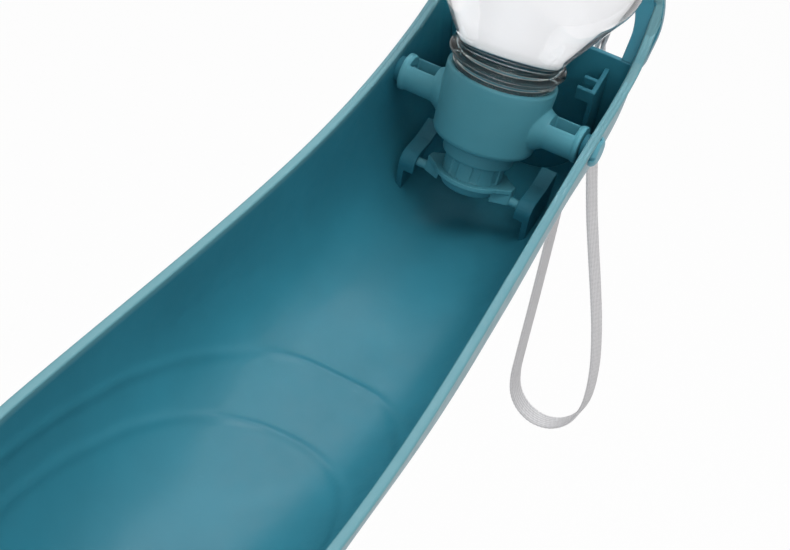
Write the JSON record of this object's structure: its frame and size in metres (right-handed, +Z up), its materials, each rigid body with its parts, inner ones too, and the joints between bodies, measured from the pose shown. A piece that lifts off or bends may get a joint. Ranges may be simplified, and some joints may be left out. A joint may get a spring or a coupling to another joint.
{
  "type": "dog travel water bottle",
  "caption": "Portable pet water bottle with a fold-out drinking trough, a cap valve that opens as the trough turns, a carry loop and a wrist strap.",
  "frame": {"origin": "in the hand grip, 5 mm below the middle of its straight wall: a point on the bottle's axis, 135 mm from the trough pivot", "axes": "+Z up, +X along the open trough from the pivot to the drinking tip, +Y to the left of a person behind the bottle who looks towards the tip; the bottle leans back 16 degrees from +Z towards -X"},
  "size_m": [0.3616, 0.1017, 0.4274],
  "materials": {
    "clear_bottle": "clear glossy PET, mass set for plastic",
    "pale_rubber": "soft silicone",
    "black_rubber": "greased rubber",
    "teal_cap": "moulded teal plastic, satin",
    "teal_trough": "moulded teal plastic, slightly translucent, semi-gloss",
    "grey_webbing": "flat woven polyester"
  },
  "bodies": {
    "bottle": {"bottle": "clear_bottle"},
    "cap": {"cap_collar": "teal_cap", "neck_gasket": "pale_rubber", "outlet_tube": "teal_cap", "tube_o_ring": "black_rubber", "plug_seal": "pale_rubber"},
    "valve": {"valve_sleeve": "teal_cap", "valve_yoke": "teal_cap", "nozzle_cup": "teal_cap"},
    "trough": {"trough_shell": "teal_trough", "rear_bulkhead": "teal_trough", "carry_loop": "teal_trough", "left_cam_claw": "teal_trough", "right_cam_claw": "teal_trough", "left_latch_bracket": "teal_trough", "right_latch_bracket": "teal_trough", "left_pivot_boss": "teal_trough", "right_pivot_boss": "teal_trough", "left_pivot_pin": "teal_trough", "right_pivot_pin": "teal_trough", "wrist_strap": "grey_webbing", "strap_sewn_end": "grey_webbing"}
  },
  "joints": [
    {"name": "cap_turn", "type": "hinge", "parent": "bottle", "child": "cap", "pos_m": [0, 0, 0], "axis": [-0.2756, 0, 0.9613], "range_deg": [0, 540]},
    {"name": "trough_fold", "type": "hinge", "parent": "cap", "child": "trough", "pos_m": [0.03721, 0, -0.12977], "axis": [0, -1, 0], "range_deg": [0, 106]},
    {"name": "valve_slide", "type": "slide", "parent": "cap", "child": "valve", "axis": [-0.2756, 0, 0.9613], "range_m": [0, 0.0024]}
  ],
  "couplings": [
    {"joint": "valve_slide", "follows": "trough_fold", "m_per_rad": 0.001297}
  ]
}
